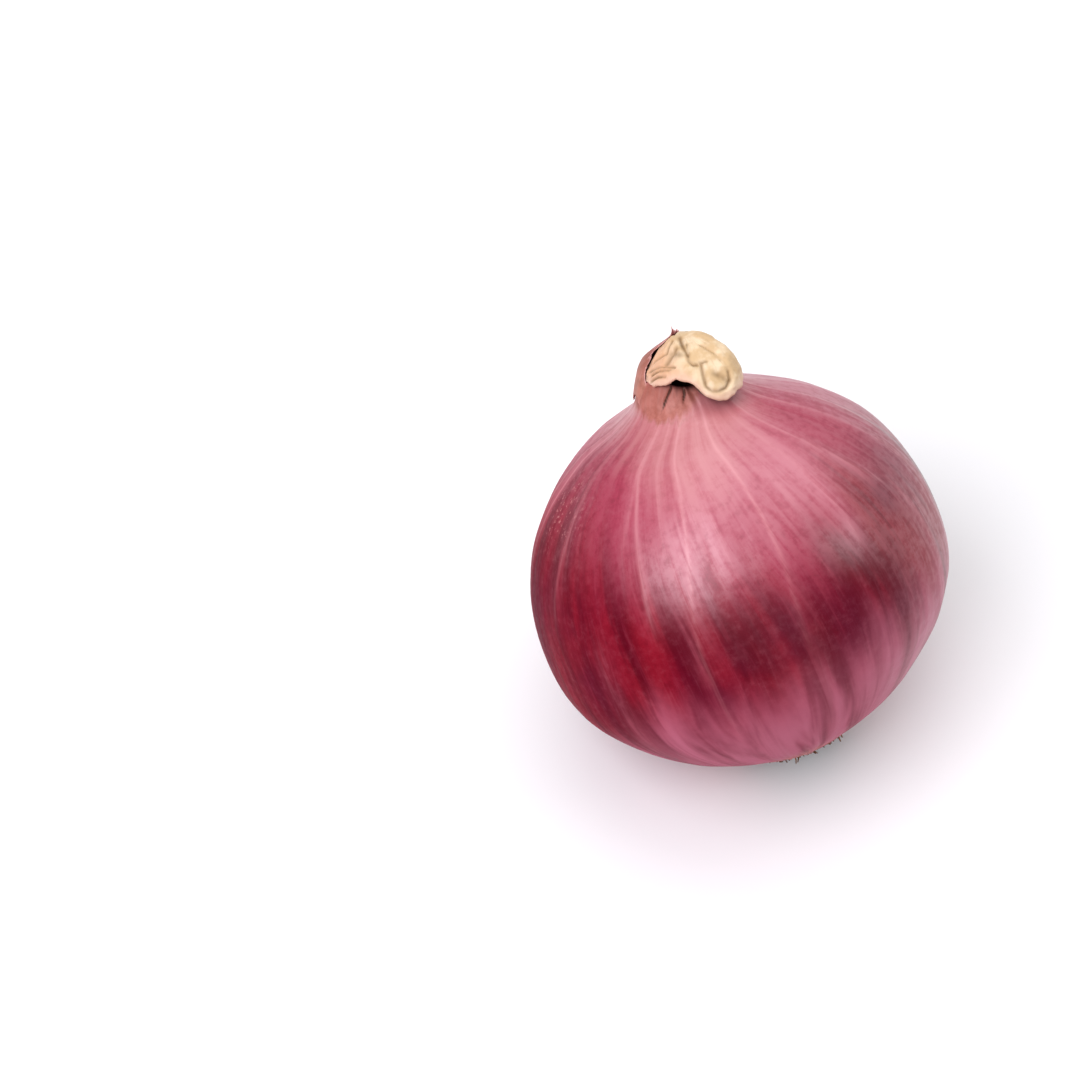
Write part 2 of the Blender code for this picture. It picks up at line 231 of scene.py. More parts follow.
# The bulb's form and pose, as the solids have them, and its finer relief. Veins in view are given as
# direction at the shoulder, direction at the belly, and strength; lines and patches are in mm.
bulb = {
    "outline": (
        (0, 34.2), (3.8, 34.4), (5.3, 36.2), (6.1, 36.6), (6.8, 35.8), (8, 33.9), (11.5, 31.8), (18, 28.5),
        (26, 22.5), (32.8, 13), (35.6, 1.5), (34.5, -11), (25.2, -22.9), (14.2, -30), (11, -31.8),
        (9.9, -31.9), (9.3, -31.2), (0, -30.8),
    ),
    "leanDeg": 34.6, "leanTowardDeg": 127.2, "turnDeg": 247.6, "flatSpotDepth": 0.7 * mm,
    "upperSwell": (0.019, -48), "lowerSwell": (0.009, 67), "swellBlend": 16.4 * mm,
    "collarStart": 31.6 * mm, "collarTop": 37 * mm, "collarBlend": 3 * mm, "collarInside": 5.5 * mm,
    "collarShift": 3 * mm, "collarLean": 0.42, "collarLeanStart": 36.2 * mm,
    "collarRise": 4.4 * mm, "collarHighDeg": 160, "ownRise": (0.4, 1, -115, 42),
    "notch": (0.25 * mm, -75, 30),
    "columns": 760, "rows": 128, "poleRadius": 0.2 * mm, "collarDetail": 2.2,
    "veins": (
        (-152, -156, 0.5, 0.6, 36, 10), (-121, -137, 0.7, 0.5, 36, 21), (-134, -136, 0.2, 0.8, 6, -26),
        (-119, -116.5, 0.9, 0.7, 36, 10), (-108.5, -111, 0.7, 0.2, 36, 23), (-98.5, -106, 1, 0.7, 36, -12),
        (-90, -92, 0.2, 0.7, 34, 14), (-74.5, -79, 1, 0.5, 36, 0), (-77, -78, 0.25, 0.8, -3, -24),
        (-63, -66, 0.3, 0.6, 33, 16), (-52.5, -54.5, 0.5, 0.9, 36, 8), (-45, -47, 0.3, 0.7, 0, -24),
        (-43, -28, 0.6, 1, 36, -18), (-20, -14, 0.6, 0.8, 36, -6), (-98, -101, 0.2, 0.7, -6, -26),
    ),
    "otherVeins": 18, "otherScatterDeg": 4, "veinSeed": 11, "veinFade": 5,
    "crestWidth": 0.36 * mm, "crestHeight": 0.05 * mm, "bandWidth": 2.1 * mm, "bandHeight": 0.14 * mm,
    "ripple": 0.035 * mm, "dent": 0.2 * mm, "collarFold": 0.16 * mm, "inset": 0.34 * mm,
    # how far down the rose of the shoulder reaches: direction and height
    "roseEdge": (
        (-170, 25), (-150, 23), (-134, 16), (-112, 10), (-88, 4), (-62, 8), (-40, 15), (-15, 12), (30, 16),
        (90, 10), (140, 15),
    ),
    # how far down the pale round the neck reaches: direction and height
    "paleEdge": (
        (-170, 29), (-140, 28), (-112, 22.5), (-90, 19), (-65, 23), (-40, 25), (-10, 27), (60, 26),
        (130, 27),
    ),
    # how far up the pink toward the root end reaches, partly the skin's own pink and partly a painted
    # reflection of the pale table: direction and height
    "lowEdge": (
        (-170, -14), (-139, -9), (-126, -2), (-112, -5), (-90, -8), (-64, -1.5), (-40, -4), (-15, -2),
        (30, -7), (90, -10), (140, -14),
    ),
    # the wax lies toward one side, ends short of the left and the back, and is thin low on the right,
    # by a share round a place as wide as given
    "waxToward": (0.733, 0.282, 0.619), "waxAcross": (0.926, -0.157, -0.343),
    "waxUp": (0.377, 0.384, 0.843), "waxThin": (0.86, 0.54, 0.37),
    "waxThinBack": 0.65, "waxThinDry": 0.8,
    # painted glints: a patch on the left shoulder where pale flecks stand for sparkling highlights, place
    # and spread
    "paintedGlints": ((-23.6, -6.6, 26.4), 6.5),
    # cracks down the collar's front, from the mouth to the shoulder
    "splits": (
        ((1.9, -6.1, 38), (1.6, -6.4, 37.5), (-0.4, -6.8, 35.5), (-1.6, -7.3, 34.5), (-2.6, -7.8, 33.8)),
        ((3.7, -6.5, 37.4), (3.7, -6.7, 36.7), (2.6, -7.8, 35.1), (1.9, -8.8, 34), (1.3, -9.7, 33.3)),
    ),
    "splitDepth": 0.3 * mm, "splitWidth": 0.21 * mm,
    # the short dry skin round the collar ends in a ragged edge: direction and height of that edge
    "dryEdge": (
        (-178, 34.6), (-150, 34.4), (-138, 34), (-117, 33.3), (-103, 32.9), (-91, 33), (-76, 33.6),
        (-50, 34.2), (-10, 34.4), (60, 34), (120, 34.8),
    ),
    "dryStep": 0.14 * mm, "dryRagged": 0.45 * mm,
    # paler patches on the shoulder, the skin's own colour at the back and painted sheen at the front:
    # direction, height, and how wide and tall
    "bloomsAndSheen": (
        (-88, 28, 34, 9), (-56, 24, 20, 8), (35, 27, 40, 7), (130, 27, 32, 6),
    ),
    "pits": (((18.4, -30.9, -0.6), 0.45, 0.3), ((14.6, -32.6, 4), 0.2, 0.1)),
    # darker patches of the skin's own colour, and those on the left side painted shade: place and spread
    "darkPatchesAndShade": (
        ((5, -36, 0), 7), ((14, -33, -2.5), 8), ((27, -20, 12), 3.5), ((22, -28, -6), 7),
        ((-9, -35, -2), 8), ((-29, -18, 3), 12), ((30, -12, 14), 5), ((-32, -8, 8), 11),
        ((-20, 26, 2), 10), ((26, 22, -6), 9), ((-33, 4, -4), 9), ((4, 34, -6), 8),
    ),
}


# Resting pose: turn about the bulb's axis, lean the axis over, and let the skin's lowest point down
# to the flat spot's depth under the origin.
def restingPose():
    turn = (
        Matrix.Rotation(math.radians(bulb["leanTowardDeg"]), 4, "Z")
        @ Matrix.Rotation(math.radians(bulb["leanDeg"]), 4, "Y")
        @ Matrix.Rotation(math.radians(bulb["turnDeg"]), 4, "Z")
    )
    radius, height = smoothPath(bulb["outline"], 12).T * mm
    skin = around(np.linspace(0.0, math.tau, 360, endpoint=False)[:, None], radius, height)
    placed = skin.reshape(-1, 3) @ np.array(turn.to_3x3()).T
    lowest = placed[np.argmin(placed[:, 2])]
    down = Matrix.Translation(Vector((-lowest[0], -lowest[1], -lowest[2] - bulb["flatSpotDepth"])))
    return down @ turn


pose = restingPose()


# Into the pose: points of the bulb's own frame moved to where it lies, none below the table and none
# above the solid's top.
def placeOnTable(points):
    turned = points @ np.array(pose.to_3x3()).T + np.array(pose.translation)
    turned[..., 2] = np.clip(turned[..., 2], 0.0, cadBox[1][2] - 0.03 * mm)
    return turned


# Vein table: the veins in view, and others at even steps over the rest, each moved by a seeded draw.
# Every third of those shows at the root end only.
def veinTable():
    rng = np.random.default_rng(bulb["veinSeed"])
    shown = list(bulb["veins"])
    first, last = -14.0, 204.0
    step = (last - first) / (bulb["otherVeins"] + 1)
    for k in range(bulb["otherVeins"]):
        middle = first + step * (k + 1) + rng.uniform(-1, 1) * bulb["otherScatterDeg"]
        low = k % 3 == 2
        top, bottom = (rng.uniform(-4, 6), -26) if low else (36, rng.uniform(-14, 20))
        line = rng.uniform(0.1, 0.3) if low else rng.uniform(0.3, 1.0)
        shown.append((middle, middle + rng.uniform(-4, 4), line, rng.uniform(0.4, 1.0), top, bottom))
    return np.array(shown)


# Round places: points on a tall cylinder, for noise that closes on itself round the bulb.
def roundPlaces(angle, height, out, tall, shift=20.0):
    return around(angle, out, height / tall) + shift


# Skin form: the turned outline, swollen a little to one side, with the collar moved off the axis and its
# rim aslant, pushed out by a relief. The skin's own rim rises by a share only where the frill stands
# round it, and dips at the mouth.
def skinForm(radius, height, angle, relief, ownRim=False):
    upper = 0.5 + 0.5 * np.tanh(height / bulb["swellBlend"])
    upperAmount, upperDeg = bulb["upperSwell"]
    lowerAmount, lowerDeg = bulb["lowerSwell"]
    swell = 1.0 + upperAmount * upper * np.cos(angle - math.radians(upperDeg))
    swell = swell + lowerAmount * (1.0 - upper) * np.cos(angle - math.radians(lowerDeg))
    full = radius * swell + relief
    collar = smoothStep(bulb["collarStart"], bulb["collarTop"], height)
    high = 0.5 + 0.5 * np.cos(angle - math.radians(bulb["collarHighDeg"]))
    rise = bulb["collarRise"] * collar * high ** 1.5 * smoothStep(0.0, bulb["collarInside"], radius)
    deep, middle, wide = bulb["notch"]
    mouth = sideBump(angle, middle, wide)
    if ownRim:
        least, most, toward, spread = bulb["ownRise"]
        share = least + (most - least) * sideBump(angle, toward, spread)
        rise = rise * share - deep * mouth * collar
    shift = bulb["collarShift"] * smoothStep(
        bulb["collarStart"] - bulb["collarBlend"], bulb["collarStart"] + bulb["collarBlend"], height)
    shift = shift + bulb["collarLean"] * np.maximum(height + rise - bulb["collarLeanStart"], 0.0)
    return np.stack([full * np.cos(angle) + shift, full * np.sin(angle), height + rise], axis=-1)


# Skin relief: each vein is a narrow crest on a broad low swell, by its distance along the skin; shallow
# dents and fine ripples are noise; folds gather at the collar; splits and pits cut in.
def skinRelief(radius, height, angle, plain):
    fade = smoothStep(9 * mm, 22 * mm, radius)
    near = smoothStep(6 * mm, 13 * mm, radius)
    crest, broad = np.zeros_like(radius), np.zeros_like(radius)
    lean = smoothStep(30 * mm, 2 * mm, height)
    sway = latticeNoise(roundPlaces(angle, height, 4, 14 * mm, 22.0), 12) * math.radians(1.2) * fade
    for atShoulder, atBelly, line, band, top, bottom in veinTable():
        middle = np.radians(atShoulder + (atBelly - atShoulder) * lean)
        away = turnApart(angle + sway, middle) * np.maximum(radius, 4 * mm)
        shown = smoothStep((bottom - bulb["veinFade"]) * mm, (bottom + bulb["veinFade"]) * mm, height)
        shown = shown * smoothStep((top + bulb["veinFade"]) * mm, (top - bulb["veinFade"]) * mm, height)
        crest += line * shown * softBump(away, bulb["crestWidth"] * (0.6 + 0.4 * fade))
        broad += band * shown * softBump(away, bulb["bandWidth"] * (0.35 + 0.65 * fade))
    crest, broad = np.minimum(crest, 1.0), np.minimum(broad, 1.0)
    dents = roughNoise(roundPlaces(angle, height, 3.1, 16 * mm), 3, 2)
    ripple = latticeNoise(roundPlaces(angle, height, 26, 9 * mm, 30.0), 9)
    relief = crest * bulb["crestHeight"] * (0.25 + 0.75 * fade) + broad * bulb["bandHeight"] * fade
    relief += bulb["dent"] * dents * fade + bulb["ripple"] * ripple * near - bulb["inset"] * fade
    outside = smoothStep(5.8 * mm, 6.6 * mm, radius)
    gather = latticeNoise(roundPlaces(angle, height, 9, 12 * mm, 25.0), 4)
    relief += bulb["collarFold"] * gather * outside * smoothStep(27 * mm, 33 * mm, height)
    split = np.zeros_like(radius)
    for line in bulb["splits"]:
        split = np.maximum(split, softBump(offLine(plain, np.array(line) * mm), bulb["splitWidth"]))
    split *= outside
    relief -= bulb["splitDepth"] * split
    pit = np.zeros_like(radius)
    for place, wide, deep in bulb["pits"]:
        hole = softBump(np.linalg.norm(plain - np.array(place) * mm, axis=-1), wide * mm)
        relief -= deep * mm * hole
        pit = np.maximum(pit, hole)
    ragged = roughNoise(roundPlaces(angle, height, 14, 40 * mm, 12.0), 8, 3) * bulb["dryRagged"]
    above = plain[..., 2] - roundTable(bulb["dryEdge"], 1, angle) * mm - ragged
    leftFront = softBump(turnApart(angle, math.radians(-125.0)), 0.62)
    dry = smoothStep(-0.05 * mm, (0.18 + 2.2 * (1 - leftFront)) * mm, above) * outside
    step = smoothStep(-0.05 * mm, 0.18 * mm, above) * smoothStep(3.0 * mm, 0.0, above)
    relief += bulb["dryStep"] * step * outside * (0.3 + 0.7 * leftFront)
    line = softBump(above, 0.16 * mm) * leftFront * outside
    return relief, crest, broad, split, pit, dry, line


def makeBulbSkin():
    path = smoothPath(bulb["outline"], 24) * mm
    path = evenPath(path, bulb["rows"], lambda spot: 1.0 + bulb["collarDetail"] * (spot[:, 1] > 29 * mm))
    path[0, 0] = path[-1, 0] = bulb["poleRadius"]
    radius, turn, height = turnedGrid(path, bulb["columns"])
    plain = skinForm(radius, height, turn, 0.0)
    relief, crest, broad, split, pit, dry, dryLine = skinRelief(radius, height, turn, plain)
    points = skinForm(radius, height, turn, relief, ownRim=True)
    along = np.concatenate([[0.0], np.cumsum(np.linalg.norm(np.diff(path, axis=0), axis=1))])
    along = np.broadcast_to(1.0 - along[:, None] / along[-1], turn.shape)
    twist = turn - math.radians(6.0) * smoothStep(30 * mm, -4 * mm, height)
    meridian = around(twist, 1, along)
    # the patches' mask, partly painted shade on the left side
    dark = np.zeros_like(radius)
    for place, spread in bulb["darkPatchesAndShade"]:
        away = (plain - np.array(place) * mm) * np.array((1.0, 1.0, 0.8))
        dark = np.maximum(dark, softBump(np.linalg.norm(away, axis=-1), spread * mm))
    front = softBump(turnApart(turn, math.radians(bulb["notch"][1])), 0.6)
    # painted shade inside the collar, deepest toward the mouth
    inside = smoothStep(6.3 * mm, 5.3 * mm, radius - front * 0.7 * mm) * (height > 0)
    inside = inside * (0.3 + 0.7 * front ** 0.5)
    tongues = roughNoise(roundPlaces(twist, height, 7, 40 * mm, 15.0), 17, 3) * 5 * mm
    rosy = height + tongues - roundTable(bulb["roseEdge"], 1, turn) * mm
    # paler patches, partly painted sheen at the front of the shoulder
    bloomAndSheen = np.zeros_like(radius)
    for deg, high, wide, tall in bulb["bloomsAndSheen"]:
        aside = turnApart(turn, math.radians(deg)) / math.radians(wide)
        away = np.hypot(aside, (height - high * mm) / (tall * mm))
        bloomAndSheen = np.maximum(bloomAndSheen, softBump(away, 1.0))
    values = {"vein": crest, "band": broad, "dark": dark, "split": np.maximum(split, pit), "dry": dry,
              "dryLine": dryLine, "inside": inside, "rosy": smoothStep(-5 * mm, 12 * mm, rosy),
              "bloomAndSheen": bloomAndSheen}
    # the top of the collar turns brown at the mouth, reaching further down where the noise is higher
    noisyHeight = height + 0.9 * mm * latticeNoise(roundPlaces(turn, height, 15, 5 * mm, 33.0), 19)
    values["mouth"] = front ** 0.6 * smoothStep(35.4 * mm, 37.3 * mm, noisyHeight) ** 1.3 * 0.9
    start = roundTable(bulb["paleEdge"], 1, turn) * mm
    values["nearNeck"] = np.clip((height - start) / (36 * mm - start), 0.0, 1.0)
    away = plain / np.linalg.norm(plain, axis=-1, keepdims=True)
    thin, middle, wide = bulb["waxThin"]
    across, upward = away @ np.array(bulb["waxAcross"]), away @ np.array(bulb["waxUp"])
    wax = smoothStep(-0.50, -0.10, away @ np.array(bulb["waxToward"])) * smoothStep(-1.0, -0.55, across)
    wax = wax * (1.0 - thin * softBump(across - middle, wide) * smoothStep(0.16, -0.10, upward))
    wax *= 0.86 + 0.14 * smoothStep(-0.12, 0.22, upward)
    wax *= 1.0 - bulb["waxThinBack"] * smoothStep(0.0, 0.6, away[..., 1])
    values["shine"] = wax * (1.0 - bulb["waxThinDry"] * dry)
    # painted glints: the patch's share round its place
    paintedGlints, spread = bulb["paintedGlints"]
    values["paintedGlints"] = softBump(np.linalg.norm(plain - np.array(paintedGlints) * mm, axis=-1), spread * mm)
    # pink toward the root end, partly painted reflection of the pale table
    low = height + tongues * 0.6 - roundTable(bulb["lowEdge"], 1, turn) * mm
    values["low"] = smoothStep(4 * mm, -12 * mm, low)
    own = withEnds(points)
    values = withPoles(values)
    values["meridian"] = np.vstack([meridian.reshape(-1, 3), (0, 0, 1), (0, 0, 0)])
    values["own"] = own
    placed = placeOnTable(own)
    skin = gridPiece("bulbSkin", placed[:-2].reshape(points.shape), poles=placed[-2:], attributes=values)
    skin.data.materials.append(skinMaterial())
    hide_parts("bulb")
    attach(skin, "root")
    print("bulb skin:", len(skin.data.polygons), "faces")


# Node: its inputs are set by name or number, and linked where the value given is another node's output.
def addNode(tree, kind, inputs=None, **settings):
    made = tree.nodes.new(kind)
    for key, value in settings.items():
        setattr(made, key, value)
    for key, value in (inputs or {}).items():
        socket = made.inputs[key]
        if isinstance(value, bpy.types.NodeSocket):
            tree.links.new(value, socket)
        else:
            socket.default_value = (*value, 1) if socket.type == "RGBA" else value
    return made


def blankMaterial(name):
    material = bpy.data.materials.new(name)
    material.use_nodes = True
    tree = material.node_tree
    return material, tree, tree.nodes["Principled BSDF"]


def readValue(tree, name, output="Fac"):
    return addNode(tree, "ShaderNodeAttribute", attribute_name=name).outputs[output]


def mixColour(tree, share, first, second):
    return addNode(tree, "ShaderNodeMix", {0: share, 6: first, 7: second}, data_type="RGBA").outputs[2]


def mathNode(tree, operation, first, second):
    return addNode(tree, "ShaderNodeMath", {0: first, 1: second}, operation=operation).outputs[0]


# Ramp: the value's stretch between low and high spread smoothly from one share to another.
def rampValue(tree, value, low, high, toLow=0.0, toHigh=1.0):
    return addNode(tree, "ShaderNodeMapRange", {0: value, 1: low, 2: high, 3: toLow, 4: toHigh},
                   interpolation_type="SMOOTHSTEP").outputs[0]


def noiseValue(tree, vector, scale, detail=2.0, roughness=0.5, distortion=0.0):
    return addNode(tree, "ShaderNodeTexNoise", {"Vector": vector, "Scale": scale, "Detail": detail,
                   "Roughness": roughness, "Distortion": distortion}).outputs[0]


def stretchedNoise(tree, vector, factors, *settings):
    scaled = addNode(tree, "ShaderNodeVectorMath", {0: vector, 1: factors}, operation="MULTIPLY")
    return noiseValue(tree, scaled.outputs[0], 1, *settings)


def axisValue(tree, own, axis=2):
    return addNode(tree, "ShaderNodeSeparateXYZ", {0: own}).outputs[axis]


# Share: the product of its factors. A factor is a number, a value, or a value with the stretch it is
# read over and the shares at that stretch's two ends. A value is one of those given, or an attribute.
def shareOf(tree, values, factors):
    total = None
    for name, *stretch in factors:
        value = name
        if isinstance(name, str):
            value = values[name] if name in values else readValue(tree, name)
        if stretch:
            value = rampValue(tree, value, *stretch)
        total = value if total is None else mathNode(tree, "MULTIPLY", total, value)
    return total


# Layered colour: each layer's colour is mixed over the colours below it by the layer's share.
def layColours(tree, finish, values, colour, layers):
    for name, *factors in layers:
        colour = mixColour(tree, shareOf(tree, values, factors), colour, finish[name])
    return colour


# Rough by noise: the finish's roughness, less and more by its two spreads as the value rises.
def roughBy(tree, value, finish):
    less, more = finish["roughSpread"]
    return rampValue(tree, value, 0.3, 0.7, finish["roughness"] - less, finish["roughness"] + more)


# Finished surface: colour, roughness, and a bump of the finish's strength and depth by the height value.
def finishSurface(tree, shader, finish, colour, roughness, height):
    bump = addNode(tree, "ShaderNodeBump", {"Height": height, "Strength": finish["bump"],
                                            "Distance": finish["bumpDepth"]})
    for value, name in ((colour, "Base Color"), (roughness, "Roughness"), (bump.outputs[0], "Normal")):
        tree.links.new(value, shader.inputs[name])


# Skin finish: rose at the shoulder over crimson, with mauve where the patches lie; colours are linear.
# Its layers lie from the bottom up, each a colour and the factors of its share.
skinFinish = {
    "crimson": (0.265, 0.012, 0.028), "deep": (0.125, 0.004, 0.014), "mauve": (0.125, 0.007, 0.028),
    "rose": (0.34, 0.024, 0.066), "pale": (0.55, 0.18, 0.23), "veinPink": (0.72, 0.34, 0.36),
    "neckPale": (0.57, 0.245, 0.245), "lowPinkAndReflection": (0.5, 0.16, 0.23), "rootPale": (0.56, 0.24, 0.2),
    "dryTan": (0.3, 0.105, 0.065), "dryPink": (0.45, 0.185, 0.142), "splitBrown": (0.075, 0.024, 0.013),
    "brownMouthShade": (0.016, 0.004, 0.002),
    "roughness": 0.42, "roughSpread": (0.05, 0.06), "specular": 0.02, "coat": 1, "coatIor": 1.95,
    "coatRoughness": 0.36, "bump": 0.28, "bumpDepth": 0.08 * mm,
    "darkness": (("dark",), ("cloud", 0.3, 0.62, 0.25, 0.8)),
    "layers": (
        ("rose", ("rosy",)),
        ("mauve", ("darkness",)),
        ("rose", ("fine", 0.5, 0.76, 0, 0.2)),
        ("deep", ("fine", 0.46, 0.24, 0, 0.18)),
        ("pale", ("mottle", 0.44, 0.84, 0, 0.12)),
        ("deep", ("mottle", 0.5, 0.28, 0, 0.32)),
        # painted glints: pale flecks in the patch on the left shoulder
        ("neckPale", ("paintedGlints",), ("flecks", 0.55, 0.68, 0, 0.75)),
        ("pale", ("band",), ("fine", 0.3, 0.62, 0.08, 0.36), ("darkness", 0, 0.8, 1, 0.25)),
        ("pale", ("hair", 0.55, 0.8, 0, 0.06)),
        # paler patches, at the front of the shoulder painted sheen
        ("pale", ("bloomAndSheen",), ("fine", 0.3, 0.6, 0.22, 0.52)),
        ("neckPale", ("towardNeck", 0.45, 1.3, 0, 0.74)),
        ("veinPink", ("vein",), ("hair", 0.3, 0.6, 0.15, 0.5), ("height", 0.002, 0.022, 0.22, 0.62)),
        # pink toward the root end, partly painted reflection of the pale table
        ("lowPinkAndReflection", ("low",), ("broad", 0.32, 0.62, 0.3, 0.88)),
        ("rootPale", ("height", -0.024, -0.0315, 0, 0.85), ("hair", 0.35, 0.6)),
        ("dryTone", ("dry",), (0.75,)),
        ("dryTan", ("dryLine",), (0.5,)),
        ("splitBrown", ("mouth",)),
        # painted shade, near black brown, inside the collar
        ("brownMouthShade", ("inside",)),
        ("splitBrown", ("split", 0.05, 0.75, 0, 0.94)),
    ),
}


# Dry skin's tone: tan to pink by noise.
def dryTone(tree, own):
    cloud = noiseValue(tree, own, 520, 4, 0.65)
    return cloud, mixColour(tree, rampValue(tree, cloud, 0.3, 0.66), skinFinish["dryTan"],
                            skinFinish["dryPink"])


# Skin: crimson to deep red by broad noise stretched along the bulb's lines, then its finish's layers.
# Its waxy layer is as thick as the shine value says, times a share by mottling and fine streaks.
def skinMaterial():
    material, tree, shader = blankMaterial("redSkin")
    meridian, own = readValue(tree, "meridian", "Vector"), readValue(tree, "own", "Vector")
    height = axisValue(tree, own)
    hair = stretchedNoise(tree, meridian, (80, 80, 12), 2, 0.5, 0.5)
    fine = stretchedNoise(tree, meridian, (19, 19, 6), 4, 0.62, 1)
    broad = stretchedNoise(tree, meridian, (7, 7, 3.2), 3, 0.55, 0.5)
    grain = noiseValue(tree, own, 1500, 2)
    mottle = noiseValue(tree, own, 620, 4, 0.65)
    # near the neck the lines crowd together, so the broad streaks take over there
    fine = mixColour(tree, rampValue(tree, height, 0.014, 0.028, 0, 0.75), fine, broad)
    hair = mixColour(tree, rampValue(tree, height, 0.012, 0.026, 0, 0.8), hair, broad)
    values = {"height": height, "hair": hair, "fine": fine, "broad": broad, "mottle": mottle,
              "cloud": noiseValue(tree, own, 85, 3)}
    values["darkness"] = shareOf(tree, values, skinFinish["darkness"])
    # flecks for the painted glints
    flattened = addNode(tree, "ShaderNodeVectorMath", {0: own, 1: (1, 1, 0.7)}, operation="MULTIPLY")
    values["flecks"] = noiseValue(tree, flattened.outputs[0], 1300, 3, 0.7)
    values["towardNeck"] = mathNode(tree, "ADD", readValue(tree, "nearNeck"),
                                    mathNode(tree, "MULTIPLY", fine, 0.8))
    tone = dryTone(tree, own)[1]
    tone = mixColour(tree, rampValue(tree, height, 0.0345, 0.0385, 0, 0.5), tone, skinFinish["dryTan"])
    colour = mixColour(tree, rampValue(tree, broad, 0.35, 0.65), skinFinish["deep"], skinFinish["crimson"])
    colour = layColours(tree, dict(skinFinish, dryTone=tone), values, colour, skinFinish["layers"])
    rougher = mathNode(tree, "MULTIPLY", readValue(tree, "dry"), 0.25)
    rough = mathNode(tree, "ADD", roughBy(tree, fine, skinFinish), rougher)
    rough = mathNode(tree, "ADD", rough, rampValue(tree, grain, 0.35, 0.65, -0.03, 0.03))
    relief = mathNode(tree, "MULTIPLY", hair, 0.35)
    for value, part in ((fine, 0.7), (mottle, 0.5), (grain, 0.12)):
        relief = mathNode(tree, "ADD", relief, mathNode(tree, "MULTIPLY", value, part))
    finishSurface(tree, shader, skinFinish, colour, rough, relief)
    wax = rampValue(tree, mathNode(tree, "ADD", mottle, fine), 0.78, 1.12, 0.66, 1)
    wax = mathNode(tree, "MULTIPLY", readValue(tree, "shine"), wax)
    wax = mathNode(tree, "MULTIPLY", wax, skinFinish["coat"])
    tree.links.new(wax, shader.inputs["Coat Weight"])
    shader.inputs["Specular IOR Level"].default_value = skinFinish["specular"]
    shader.inputs["Coat IOR"].default_value = skinFinish["coatIor"]
    shader.inputs["Coat Roughness"].default_value = skinFinish["coatRoughness"]
    return material


# The hood: dead leaves folded over at the neck. Its edge and mouth are those of the solid, as direction
# round the neck, reach and height in mm, roundness of the roof, and how far the mouth is drawn in.
hood = {
    "centre": (4, 0.5), "top": (6.5, 1.2, 43.4), "foot": 32.2, "lip": 0.6, "ceiling": 1.2,
    "edge": (
        (-178, 5.6, 38.9, 1.7), (-148, 6.5, 38.9, 1.8), (-114, 8.1, 39, 1.8), (-95, 8.7, 39.2, 1.7),
        (-83, 9.7, 38, 1.7), (-75, 11.4, 35.1, 1.8), (-60, 12.3, 33.9, 1.9), (-42, 11.7, 34.4, 1.9),
        (-15, 9.1, 35.6, 1.4), (30, 6.8, 36.8, 1.2), (80, 5.4, 37.8, 1.3), (130, 5.2, 38.6, 1.6),
    ),
    "mouth": (
        (-178, 0.98), (-148, 0.95), (-118, 0.6), (-95, 0.36), (-75, 0.4), (-60, 0.52), (-42, 0.58),
        (-15, 0.7), (30, 0.92), (80, 0.98), (130, 0.98),
    ),
    "roof": (0.07, 0.14, 0.22, 0.31, 0.4, 0.5, 0.59, 0.68, 0.76, 0.83, 0.89, 0.95),
    "columns": 420, "stepsEach": 5,
    "raggedEdge": 0.24, "crumple": 0.42, "fineCrumple": 0.14, "fibre": 0.035,
    "drawnIn": (0.55, 145, 48),
    # creases pressed into the roof: depth, width and the line they follow
    "creases": (
        (0.45, 0.32, ((7.6, -7.7, 39.8), (7.3, -8.8, 38.7), (7, -10.1, 36.9), (7.6, -10.6, 35.9),
                      (8.6, -10.6, 35.5), (9.9, -10.2, 35.4), (11, -9.4, 36), (11.2, -8.6, 37.2))),
        (0.45, 0.33, ((6.2, -5.6, 41.4), (6, -6.6, 40.8), (6.4, -7.5, 40.2), (7, -7.6, 40.1))),
        (0.35, 0.3, ((7.6, -7.5, 40), (8.6, -7.6, 39.9))),
        (0.5, 0.4, ((6.4, 0.6, 43.5), (6.1, -1.4, 43.2), (6, -3.2, 42.6), (6.2, -5.4, 41.6))),
        (0.3, 0.7, ((4.8, -3.4, 42.5), (3.6, -4.4, 41.8), (2.6, -5.2, 41.2))),
        (0.4, 0.32, ((-0.6, -3.6, 39.9), (1, -5, 40.4), (2.6, -6.4, 40.4), (4.4, -7.2, 40))),
        (0.4, 0.32, ((-1.2, -4.2, 39.2), (0.4, -5.6, 39.8), (1.6, -6.6, 39.7))),
        (0.3, 0.35, ((9.4, -5.4, 41), (10.6, -7.4, 39), (11.4, -8.4, 36.4))),
        (0.35, 0.45, ((1.6, 2.6, 41.6), (3.6, 3.4, 42.2), (6.6, 4.6, 40.6))),
        (0.3, 0.4, ((9.8, 0.8, 41.4), (10.8, 2.4, 38.6))),
        (0.32, 0.26, ((-0.9, -2.3, 40.1), (0.4, -3.6, 40.5), (1.8, -5, 40.9), (3.6, -6.9, 40.7))),
        (0.28, 0.34, ((4.8, -1.2, 43), (3, -3, 42.2), (0.8, -2.3, 41.1))),
        (0.26, 0.95, ((4, -3.8, 42.3), (5, -5.2, 41.8))),
        (0.34, 0.24, ((6.7, -3.3, 42.5), (6.3, -5.7, 41.3), (6.1, -7.1, 40.3))),
        (0.24, 0.6, ((9.1, -9.2, 38.1), (10, -9.5, 37.2), (10.7, -9.6, 36.2))),
        (0.22, 0.22, ((8.7, -4.5, 41.9), (10.1, -6.2, 40.6), (11, -7.4, 39))),
    ),
}


# Hood form: its reach, edge height and roundness in each direction, and the middles of foot and top.
def hoodForm(angle):
    reach, edge, roundness = (roundTable(hood["edge"], column, angle) for column in (1, 2, 3))
    return reach * mm, edge * mm, roundness, np.array(hood["centre"]) * mm, np.array(hood["top"]) * mm


